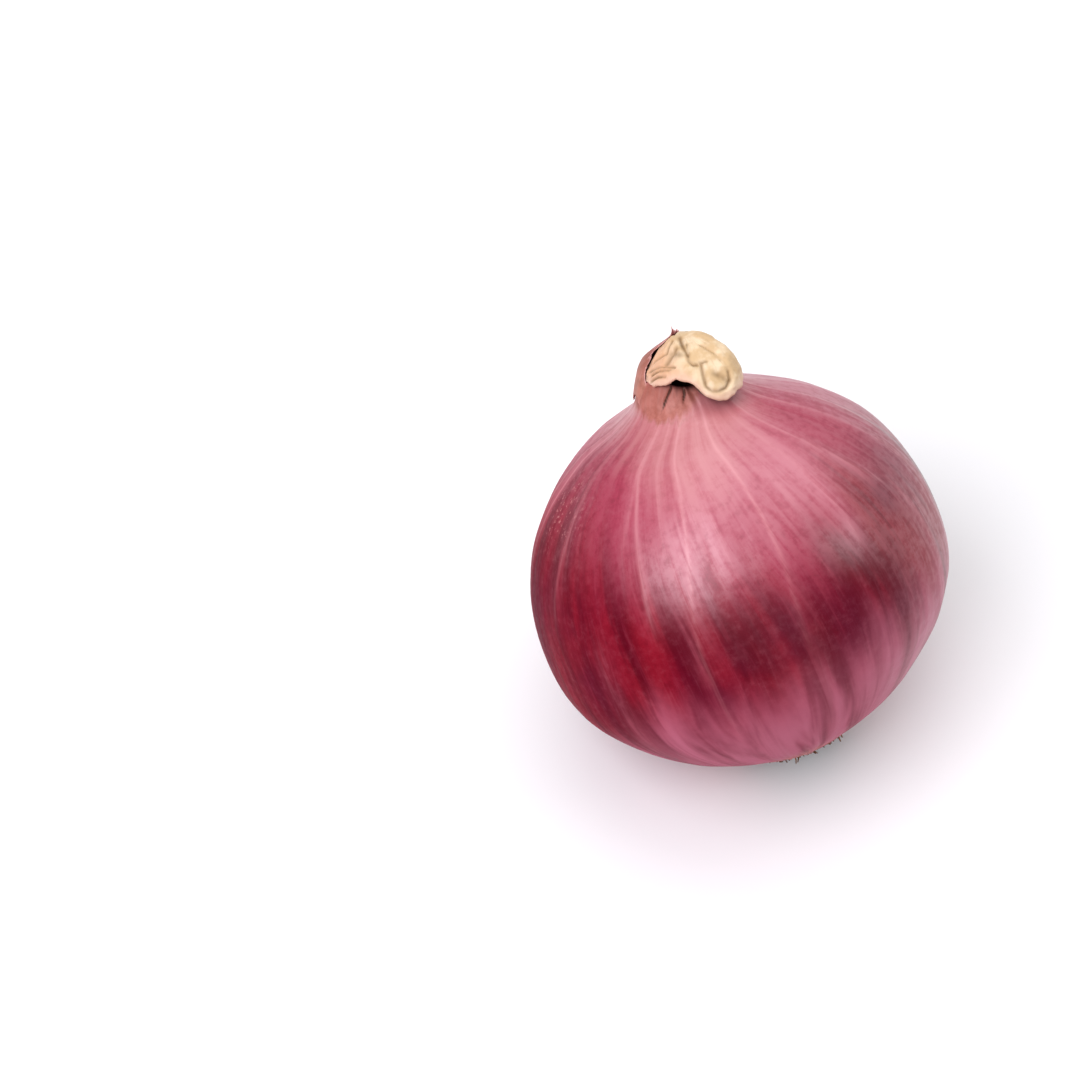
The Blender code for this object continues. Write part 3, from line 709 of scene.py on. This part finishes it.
# Hood stations: rings about a middle that moves to the top as they rise, each at a share of the reach;
# above the edge the share is (1 - gain ^ roundness) ^ (1 / roundness).
def hoodStations(angle):
    reach, edge, roundness, centre, top = hoodForm(angle)
    mouth = roundTable(hood["mouth"], 1, angle)
    jag = roughNoise(around(angle, 7, 0) + 11.0, 6, 3)
    lipEdge = edge + hood["raggedEdge"] * mm * jag * smoothStep(0.95, 0.7, mouth)

    def ring(share, height, inside=0.0):
        gain = np.clip((height - edge) / (top[2] - edge), 0.0, 1.0)
        middle = centre + (top[:2] - centre) * gain[:, None]
        out = reach * share
        return np.stack([middle[:, 0] + out * np.cos(angle), middle[:, 1] + out * np.sin(angle), height,
                         np.full_like(angle, inside * mm)], axis=-1)

    foot = np.full_like(angle, hood["foot"] * mm)
    drawn = smoothStep(0.98, 0.6, mouth)
    lip = hood["lip"] * mm
    ceiling = lipEdge - lip + hood["ceiling"] * mm * drawn * smoothStep(34 * mm, 39 * mm, edge)
    rings = [
        ring(mouth * 0.55, foot, 1.0), ring(mouth * 0.9, foot + 0.6 * mm, 1.0),
        ring(mouth, 0.5 * (foot + 0.6 * mm + ceiling), 1.0), ring(mouth, ceiling - 0.3 * mm, 1.0),
        ring(mouth + (1 - mouth) * 0.5, ceiling, 0.9), ring(0.95 + 0 * mouth, lipEdge - lip * 0.6, 0.5),
        ring(1.0 + 0 * mouth, lipEdge),
    ]
    for gain in hood["roof"]:
        share = (1.0 - gain ** roundness) ** (1.0 / roundness)
        rings.append(ring(share, lipEdge + gain * (top[2] - lipEdge)))
    return np.array(rings)


# Hood surface: a smooth path through the stations in each direction, then moved along its facing by
# crumple (1 minus the size of noise, for sharp ridges), leaf fibres, and creases by their distance.
def makeHood():
    angle = np.linspace(0.0, math.tau, hood["columns"], endpoint=False)
    rows = smoothPath(hoodStations(angle), hood["stepsEach"])
    plain, inside = rows[..., :3], np.clip(rows[..., 3] / mm, 0.0, 1.0)
    facing = gridFacing(plain)
    outside = 1.0 - inside
    turn = np.broadcast_to(angle, inside.shape)
    crumple = 0.5 - np.abs(latticeNoise(plain / (3.4 * mm) + 40.0, 21))
    crumple = crumple + 0.5 * (0.5 - np.abs(latticeNoise(plain / (1.7 * mm) + 50.0, 22)))
    fineCrumple = 0.5 - np.abs(latticeNoise(plain / (0.8 * mm) + 60.0, 23))
    fibre = latticeNoise(around(turn, 30, plain[..., 2] / (5 * mm)) + 35, 24)
    move = (hood["crumple"] * crumple + hood["fineCrumple"] * fineCrumple + hood["fibre"] * fibre) * outside
    most, middle, spread = hood["drawnIn"]
    towardBack = sideBump(turn, middle, spread)
    move = move - most * towardBack * outside * smoothStep(0.0, 0.3, outside)
    # the creases' mask also carries the painted shade in them
    crease = np.zeros_like(inside)
    for depth, width, line in hood["creases"]:
        mark = softBump(offLine(plain, np.array(line) * mm), width * mm)
        move = move - depth * mark * outside
        crease = np.maximum(crease, mark ** 1.8 * min(1.0, depth / 0.4))
    top = hood["top"][2] * mm
    points = plain + facing * move[..., None] * mm
    points[..., 2] = np.minimum(points[..., 2], top - 0.02 * mm)
    rim = softBump(plain[..., 2] - hoodForm(angle)[1], 0.9 * mm) * outside
    own = withEnds(points)
    values = withPoles({"crease": crease, "inside": inside, "rim": rim})
    meridian = around(turn, 1, plain[..., 2] / (30 * mm))
    values["meridian"] = np.vstack([meridian.reshape(-1, 3), (0, 0, 1), (0, 0, 1)])
    values["own"] = own
    placed = placeOnTable(own)
    values = {label: flipRows(value, points.shape[:2]) for label, value in values.items()}
    piece = gridPiece("neckHood", placed[:-2].reshape(points.shape)[::-1], poles=placed[[-1, -2]],
                      attributes=values)
    piece.data.materials.append(dryLeafMaterial())
    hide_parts("neck")
    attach(piece, "root")
    print("hood:", len(piece.data.polygons), "faces")


# Flip rows: values listed from the first row to the last and then the two poles, turned end for end.
def flipRows(values, shape):
    grid = values[:-2].reshape(shape + values.shape[1:])[::-1]
    return np.concatenate([grid.reshape((-1,) + values.shape[1:]), values[-1:], values[-2:-1]])


leafFinish = {
    "cream": (0.74, 0.58, 0.4), "straw": (0.6, 0.42, 0.24), "peach": (0.66, 0.36, 0.22),
    "rimPink": (0.72, 0.48, 0.38), "oliveCreaseShade": (0.23, 0.135, 0.06), "brownInsideShade": (0.045, 0.014, 0.007),
    "roughness": 0.62, "roughSpread": (0.06, 0.1), "sheen": 0.15, "sheenRoughness": 0.4,
    "bump": 0.5, "bumpDepth": 0.06 * mm,
    "layers": (
        ("peach", ("across", 0.0065, 0.001, 0, 0.8)),
        ("straw", ("streak", 0.5, 0.7, 0, 0.45)),
        ("rimPink", ("rim",), (0.7,)),
        # painted shade in the creases, olive brown
        ("oliveCreaseShade", ("crease",), (0.92,)),
        # painted shade inside the mouth, dark brown
        ("brownInsideShade", ("inside", 0.15, 0.7)),
    ),
}


# Dry leaf: cream to straw by broad noise, then its layers: peach toward the left, straw in fine streaks
# along the leaf, pinkish at the rim, painted olive brown shade in the creases, and painted dark brown shade
# inside the mouth.
def dryLeafMaterial():
    material, tree, shader = blankMaterial("dryLeaf")
    own = readValue(tree, "own", "Vector")
    streak = stretchedNoise(tree, readValue(tree, "meridian", "Vector"), (24, 24, 3), 3)
    cloud = noiseValue(tree, own, 330, 3)
    values = {"across": axisValue(tree, own, 0), "streak": streak}
    colour = mixColour(tree, rampValue(tree, cloud, 0.4, 0.62), leafFinish["cream"], leafFinish["straw"])
    colour = layColours(tree, leafFinish, values, colour, leafFinish["layers"])
    finishSurface(tree, shader, leafFinish, colour, roughBy(tree, cloud, leafFinish), streak)
    shader.inputs["Sheen Weight"].default_value = leafFinish["sheen"]
    shader.inputs["Sheen Roughness"].default_value = leafFinish["sheenRoughness"]
    return material


# The torn outer skin round the back and left of the neck: a thin sheet that goes on up from the collar,
# stands clear of the hood and ends in a ragged free edge. "climb" is how far it reaches at each
# direction: 2 is the collar's rim, 3 the hood's roof.
frill = {
    "from": 24, "to": 210, "columns": 420, "rows": 44,
    "foot": ((8.3, 33.4), (7.2, 35.3), (6.45, 36.5)), "lift": (-0.08, 0.14, 0.16), "roofGain": 0.93,
    "stand": 0.12, "bow": 0.2, "endLift": -0.5,
    "climb": (
        (24, 1), (45, 1.9), (70, 2.7), (90, 3.05), (110, 3.16), (128, 3.12), (140, 2.94), (150, 2.93),
        (160, 2.84), (170, 2.74), (182, 2.6), (192, 2.32), (200, 1.8), (210, 1),
    ),
    "ragged": 0.24, "footRagged": 0.45, "flutter": 0.28, "thickness": 0.08, "beyond": (0.5, 1.5, 0.8),
    # fibres torn loose from the edge: direction, how far they rise above it and how wide they are
    "fibres": (
        (134, 0.95, 7), (122, 0.3, 5), (151, 0.3, 3), (163, 0.22, 2.5), (104, 0.35, 5), (176, 0.15, 2),
    ),
}


# Frill surface: a smooth path from the collar's outside over its rim to the roof in each direction, read
# from a ragged foot up to the climb there, and pushed in and out by noise that grows toward the free edge.
def makeFrill():
    degrees = np.linspace(frill["from"], frill["to"], frill["columns"])
    angle = np.radians(degrees)
    stations = []
    toEnd = np.minimum(degrees - frill["from"], frill["to"] - degrees)
    under = frill["endLift"] * smoothStep(16.0, 0.0, toEnd)
    for (radius, height), lift in zip(frill["foot"], frill["lift"]):
        relief = (lift + under) * mm
        stations.append(skinForm(radius * mm + 0 * angle, height * mm + 0 * angle, angle, relief))
    reach, edge, roundness, centre, top = hoodForm(angle)
    middle = centre + (top[:2] - centre) * frill["roofGain"]
    out = reach * (1.0 - frill["roofGain"] ** roundness) ** (1.0 / roundness) + frill["stand"] * mm
    roof = np.stack([middle[0] + out * np.cos(angle), middle[1] + out * np.sin(angle),
                     edge + frill["roofGain"] * (top[2] - edge)], axis=-1)
    halfway = 0.5 * (stations[-1] + roof)
    halfway = halfway + frill["bow"] * mm * around(angle, 1, 0.4)
    steps = 12
    path = smoothPath(stations + [halfway, roof, roof + np.array(frill["beyond"]) * mm], steps)
    table = np.array(frill["climb"])
    alongEdge = np.stack([degrees, 0 * degrees, 0 * degrees], axis=-1)
    jag = roughNoise(alongEdge / 5.5 + 14.0, 31, 4)
    climb = np.interp(degrees, table[:, 0], table[:, 1])
    climb = climb + frill["ragged"] * jag * (0.4 + 0.6 * (climb > 2.0))
    for middle, tall, wide in frill["fibres"]:
        climb = climb + tall * np.clip(1.0 - np.abs(degrees - middle) / wide, 0.0, 1.0)
    climb = np.clip(climb, 0.3, 4.0)
    # from the rim to the roof counts double, since that part of the path is two spans long
    limit = (climb + np.clip(climb - 2.0, 0.0, 1.0)) * steps
    share = np.linspace(0.0, 1.0, frill["rows"])[:, None]
    wavy = roughNoise(alongEdge / 13.0 + 23.0, 33, 4)
    start = np.clip(frill["footRagged"] * (wavy + 0.4), 0.0, 0.9) * steps
    at = start + (limit - start) * share
    below = np.minimum(at.astype(int), len(path) - 2)
    part = (at - below)[..., None]
    column = np.arange(len(degrees))
    points = path[below, column] * (1.0 - part) + path[below + 1, column] * part
    places = np.stack(np.broadcast_arrays(degrees / 11.0, 3.0 * share, 0.0), axis=-1)
    push = frill["flutter"] * mm * roughNoise(places + 17.0, 32, 2) * share ** 2
    points = points + push[..., None] * around(angle, 1, 0)
    free = smoothStep(0.90, 1.0, share) + 0 * degrees
    values = {"edge": free.ravel(), "own": points.reshape(-1, 3), "climb": (at / steps).ravel()}
    piece = gridPiece("neckFrill", placeOnTable(points), goesRound=False, attributes=values)
    giveThickness(piece, frill["thickness"] * mm).material_offset = 1
    piece.data.materials.append(collarSkinMaterial())
    piece.data.materials.append(tornSkin)
    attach(piece, "root")
    print("frill:", len(piece.data.polygons), "faces")


def giveThickness(piece, thickness):
    wall = piece.modifiers.new("wall", "SOLIDIFY")
    wall.thickness = thickness
    wall.offset = 0.0
    return wall


tornFinish = {
    "dark": (0.17, 0.04, 0.036), "brown": (0.24, 0.065, 0.055), "edgePink": (0.6, 0.32, 0.3),
    "neckPale": skinFinish["neckPale"], "roughness": 0.6, "roughSpread": (0.08, 0.12),
    "outsideRoughness": (0.45, 0.6), "bump": 0.4, "bumpDepth": 0.05 * mm,
    "outside": (("brown", ("climb", 1.4, 3.2, 0, 0.55)), ("neckPale", ("foot", 0.55, 1.35, 0.75, 0)),
                ("edgePink", ("edge",))),
    "inside": (("edgePink", ("edge",), ("cloud", 0.3, 0.5, 0.4, 1)),),
}


# Collar skin: the outside of the torn skin. It is dry tan and pink by noise, browner as it climbs, pale
# at its foot by a ragged threshold, and pink at its free edge.
def collarSkinMaterial():
    material, tree, shader = blankMaterial("collarSkin")
    cloud, colour = dryTone(tree, readValue(tree, "own", "Vector"))
    values = {"foot": mathNode(tree, "ADD", readValue(tree, "climb"), cloud)}
    colour = layColours(tree, tornFinish, values, colour, tornFinish["outside"])
    rough = rampValue(tree, cloud, 0.3, 0.7, *tornFinish["outsideRoughness"])
    finishSurface(tree, shader, tornFinish, colour, rough, cloud)
    return material


# Torn skin: its dark inside, dark red to brown by noise, and pale pink at the ragged free edge.
def tornSkinMaterial():
    material, tree, shader = blankMaterial("tornSkin")
    cloud = noiseValue(tree, readValue(tree, "own", "Vector"), 600, 3)
    colour = mixColour(tree, rampValue(tree, cloud, 0.4, 0.62), tornFinish["dark"], tornFinish["brown"])
    colour = layColours(tree, tornFinish, {"cloud": cloud}, colour, tornFinish["inside"])
    finishSurface(tree, shader, tornFinish, colour, roughBy(tree, cloud, tornFinish), cloud)
    return material


tornSkin = tornSkinMaterial()


# The root tuft: a knobbly basal plate with short dried rootlets that splay and curl.
roots = {
    "plateOutline": ((0.2, -30.4), (8.3, -30.4), (9.2, -31.7), (8.9, -32.2), (5.5, -32.8), (0.2, -33)),
    "plateRows": 40, "plateColumns": 150, "knobs": 0.35, "knobsBelow": -31.8, "plateTone": 0.15,
    "count": 700, "sides": 5, "rings": 6, "radius": (0.13, 0.29), "length": (0.9, 2.8), "sunk": 0.6,
    "splayDeg": 62, "stray": 0.3, "curl": 2.6, "outerShare": 0.9, "clearance": 0.12, "seed": 5,
    "spread": 8.7, "baseHeight": -32.9, "baseRise": 0.9, "taper": 0.55,
}


# Rootlets: each is a bent tube. Its base lies on a sunflower spiral over the plate, its direction leans
# out with its distance from the middle and turns by its curl along its length, and it narrows to a tip.
def rootletPoints():
    rng = np.random.default_rng(roots["seed"])
    count, rings, sides = roots["count"], roots["rings"], roots["sides"]
    share = np.sqrt((np.arange(count) + 0.5) / count)
    angle = np.arange(count) * math.pi * (3 - math.sqrt(5)) + rng.uniform(-0.3, 0.3, count)
    out = share * roots["spread"] * mm
    base = around(angle, out, (roots["baseHeight"] + share ** 3 * roots["baseRise"]) * mm)
    splay = math.radians(roots["splayDeg"]) * share + rng.uniform(-1, 1, count) * roots["stray"]
    lean = angle + rng.uniform(-0.7, 0.7, count)
    length = rng.uniform(*roots["length"], count) * mm * (1.0 - (1.0 - roots["outerShare"]) * share ** 3)
    curl = rng.uniform(-1, 1, count) * roots["curl"]
    swing = rng.uniform(-1, 1, count) * roots["curl"]
    width = rng.uniform(*roots["radius"], count) * mm
    step = np.linspace(0, 1, rings)[None, :]
    bend = splay[:, None] + curl[:, None] * step ** 1.3
    turn = lean[:, None] + swing[:, None] * step
    way = around(turn, np.sin(bend), -np.cos(bend))
    stretch = (length[:, None] + roots["sunk"] * mm) / (rings - 1)
    stretch = stretch[..., None]
    spine = np.cumsum(way * stretch, axis=1) - way[:, :1] * (stretch + roots["sunk"] * mm)
    spine = base[:, None] + spine
    side = np.cross(way, np.array((0.31, 0.52, 0.79)))
    side /= np.linalg.norm(side, axis=-1, keepdims=True)
    other = np.cross(way, side)
    corner = (np.arange(sides) * math.tau / sides)[:, None]
    taper = width[:, None] * (1.0 - roots["taper"] * step ** 2)
    ring = side[:, :, None] * np.cos(corner) + other[:, :, None] * np.sin(corner)
    points = spine[:, :, None] + ring * taper[..., None, None]
    feet = spine[:, 0] - way[:, 0] * width[:, None] * 0.6
    tips = spine[:, -1] + way[:, -1] * width[:, None] * 0.6
    tone = np.repeat(rng.uniform(0, 1, count), rings * sides + 2).reshape(count, -1)
    far = np.repeat(step, sides, axis=1).repeat(count, axis=0)
    far = np.concatenate([far, np.zeros((count, 1)), np.ones((count, 1))], axis=1)
    return np.concatenate([points.reshape(count, -1, 3), feet[:, None], tips[:, None]], axis=1), tone, far


# Root tuft: the plate's outline turned round the axis, with knobs of noise underneath, and the rootlets
# that stay clear of the table.
def makeRoots():
    path = evenPath(smoothPath(roots["plateOutline"], 8) * mm, roots["plateRows"])
    radius, turn, height = turnedGrid(path, roots["plateColumns"])
    plate = around(turn, radius, height)
    knobs = roughNoise(plate / (1.5 * mm) + 30.0, 41, 2)
    plate[..., 2] += roots["knobs"] * mm * knobs * (height < roots["knobsBelow"] * mm)
    platePoints = placeOnTable(withEnds(plate))
    rows, tone, far = rootletPoints()
    rows = placeOnTable(rows)
    keep = rows[..., 2].min(axis=1) > roots["clearance"] * mm
    rows, tone, far = rows[keep], tone[keep], far[keep]
    # the plate's rows run from its hidden top down, so its faces are turned to point outwards
    plateFaces = [faces[:, ::-1] for faces in gridFaces(*plate.shape[:2])]
    starts = len(platePoints) + np.arange(len(rows))[:, None, None] * rows.shape[1]
    quads, fans = gridFaces(roots["rings"], roots["sides"])
    vertices = np.vstack([platePoints, rows.reshape(-1, 3)])
    values = {
        "tone": np.concatenate([np.full(len(platePoints), roots["plateTone"]), tone.ravel()]),
        "far": np.concatenate([np.zeros(len(platePoints)), far.ravel()]),
        "own": vertices,
    }
    piece = rawPiece("rootTuft", vertices, np.vstack([plateFaces[0], (quads + starts).reshape(-1, 4)]),
                     np.vstack([plateFaces[1], (fans + starts).reshape(-1, 3)]), values)
    piece.data.materials.append(rootMaterial())
    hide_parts("roots")
    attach(piece, "root")
    print("roots:", len(rows), "rootlets,", len(piece.data.polygons), "faces")


rootFinish = {
    "tan": (0.15, 0.065, 0.034), "brown": (0.038, 0.012, 0.008), "pale": (0.34, 0.19, 0.11),
    "roughness": 0.8, "roughSpread": (0.08, 0.1), "bump": 0.5, "bumpDepth": 0.05 * mm,
    "layers": (("pale", ("tone", 0.4, 1, 0, 0.7)), ("brown", ("grime", 0.45, 0.65, 0, 0.6))),
}


# Dried root: brown at its foot to tan and pale along its length, each rootlet with its own tone.
def rootMaterial():
    material, tree, shader = blankMaterial("driedRoot")
    grime = noiseValue(tree, readValue(tree, "own", "Vector"), 900, 3)
    colour = mixColour(tree, rampValue(tree, readValue(tree, "far"), 0.1, 0.6), rootFinish["brown"],
                       rootFinish["tan"])
    colour = layColours(tree, rootFinish, {"grime": grime}, colour, rootFinish["layers"])
    finishSurface(tree, shader, rootFinish, colour, roughBy(tree, grime, rootFinish), grime)
    return material


# The skirt: torn flakes of old skin round the basal plate, from the bulb's edge over the root tuft.
skirt = {
    "columns": 420, "rows": 12, "from": (10.6, -31.75), "to": (9, -33.1), "ragged": 0.55, "flutter": 0.35,
    "thickness": 0.09, "clearance": 0.12,
}


# Skirt surface: a cone from the bulb's lower edge to a ragged rim, its length and lean by noise.
def makeSkirt():
    angle = np.linspace(0.0, math.tau, skirt["columns"], endpoint=False)
    share = np.linspace(0.0, 1.0, skirt["rows"])[:, None]
    ring = around(angle, 9, 0) + 13.0
    reach = np.clip(0.35 + skirt["ragged"] * roughNoise(ring, 51, 4), 0.02, 1.0)
    start, end = np.array(skirt["from"]), np.array(skirt["to"])
    out = start[0] + (end[0] - start[0]) * share * reach
    out = out + skirt["flutter"] * latticeNoise(ring * 1.3, 52) * share
    down = start[1] + (end[1] - start[1]) * share * reach
    points = around(angle, out, down) * mm
    values = {"edge": np.clip(smoothStep(0.35, 1.0, share) + 0 * angle, 0, 1).ravel(),
              "own": points.reshape(-1, 3)}
    placed = placeOnTable(points)
    placed[..., 2] = np.maximum(placed[..., 2], skirt["clearance"] * mm)
    piece = gridPiece("rootSkirt", placed, attributes=values)
    giveThickness(piece, skirt["thickness"] * mm)
    piece.data.materials.append(tornSkin)
    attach(piece, "root")
    print("skirt:", len(piece.data.polygons), "faces")


# The table and the camera. The camera stands where the photograph was taken from: 55 degrees above
# the table, with the bulb's middle off its centre.
view = {
    "elevationDeg": 55, "distance": 0.513, "lens": 100, "sensor": 36,
    "frameSize": (1085, 1080), "bulbAt": (734.6, 571.2),
}
stage = {"size": 8, "colour": (0.86, 0.86, 0.87), "roughness": 0.5}
lights = {
    "exposure": -0.44, "world": (0.14, 0.95), "brightFrom": (0.45, 0.62, 0.64),
    "worldColour": (0.98, 0.99, 1),
    "lamps": {
        "window": {"toward": (-0.463, -0.445, 0.766), "distance": 0.9, "size": (0.76, 0.8), "power": 9.4,
                   "colour": (0.97, 0.95, 1)},
        "second": {"toward": (0.84, -0.1, 0.53), "distance": 1.1, "size": (0.34, 0.5), "power": 1.35,
                   "colour": (0.96, 0.97, 1)},
        "overhead": {"toward": (0.1, 0.36, 0.93), "distance": 1.2, "size": (1.3, 1), "power": 5,
                     "colour": (1, 0.99, 0.99)},
    },
}


def makeStage():
    half = stage["size"] / 2
    corners = np.array([(-half, -half, 0), (half, -half, 0), (half, half, 0), (-half, half, 0)])
    table = rawPiece("table", corners, np.array([[0, 1, 2, 3]]))
    material, tree, shader = blankMaterial("paleTable")
    tone = noiseValue(tree, addNode(tree, "ShaderNodeTexCoord").outputs["Object"], 6, 2)
    colour = mixColour(tree, tone, [c * 0.985 for c in stage["colour"]], stage["colour"])
    tree.links.new(colour, shader.inputs["Base Color"])
    shader.inputs["Roughness"].default_value = stage["roughness"]
    table.data.materials.append(material)
    print("table laid")


# Camera: its axis is turned away from the line to the bulb's middle by the angles whose tangents are
# the middle's pixel offsets over the focal length in pixels.
def makeCamera():
    elevation = math.radians(view["elevationDeg"])
    toward = Vector((0.0, -math.cos(elevation), math.sin(elevation)))
    focal = view["lens"] / view["sensor"] * max(view["frameSize"])
    across = (view["bulbAt"][0] - view["frameSize"][0] / 2) / focal
    down = (view["bulbAt"][1] - view["frameSize"][1] / 2) / focal
    right = Vector((1.0, 0.0, 0.0))
    up = toward.cross(right)
    level = Matrix((right, up, toward)).transposed().to_4x4()
    aside = Matrix.Rotation(math.atan(across), 4, "Y") @ Matrix.Rotation(math.atan(down), 4, "X")
    camera = bpy.data.cameras.new("camera")
    camera.lens, camera.sensor_width = view["lens"], view["sensor"]
    camera.clip_start, camera.clip_end = 0.01, 30.0
    item = bpy.data.objects.new("camera", camera)
    item.matrix_world = Matrix.Translation(pose.translation + toward * view["distance"]) @ level @ aside
    bpy.context.scene.collection.objects.link(item)
    bpy.context.scene.camera = item
    print("camera placed")


def makeLights():
    world = bpy.data.worlds.new("studio")
    bpy.context.scene.world = world
    bpy.context.scene.view_settings.view_transform = "Standard"
    bpy.context.scene.view_settings.look = "Medium High Contrast"
    bpy.context.scene.view_settings.exposure = lights["exposure"]
    world.use_nodes = True
    background = world.node_tree.nodes["Background"]
    background.inputs[0].default_value = (*lights["worldColour"], 1.0)
    # the surroundings are brighter toward one side: the strength rises with the direction's dot product
    tree = world.node_tree
    toward = addNode(tree, "ShaderNodeTexCoord").outputs["Generated"]
    facing = addNode(tree, "ShaderNodeVectorMath", {0: toward, 1: lights["brightFrom"]},
                     operation="DOT_PRODUCT").outputs["Value"]
    tree.links.new(rampValue(tree, facing, -0.6, 1, *lights["world"]), background.inputs[1])
    for name, wanted in lights["lamps"].items():
        lamp = bpy.data.lights.new(name, "AREA")
        lamp.shape = "RECTANGLE"
        lamp.size, lamp.size_y = wanted["size"]
        lamp.energy = wanted["power"]
        lamp.color = wanted["colour"]
        item = bpy.data.objects.new(name, lamp)
        toward = Vector(wanted["toward"]).normalized()
        item.location = pose.translation + toward * wanted["distance"]
        item.rotation_euler = toward.to_track_quat("Z", "Y").to_euler()
        bpy.context.scene.collection.objects.link(item)
    print("lights set")


makeBulbSkin()
makeHood()
makeFrill()
makeRoots()
makeSkirt()
makeStage()
makeCamera()
makeLights()
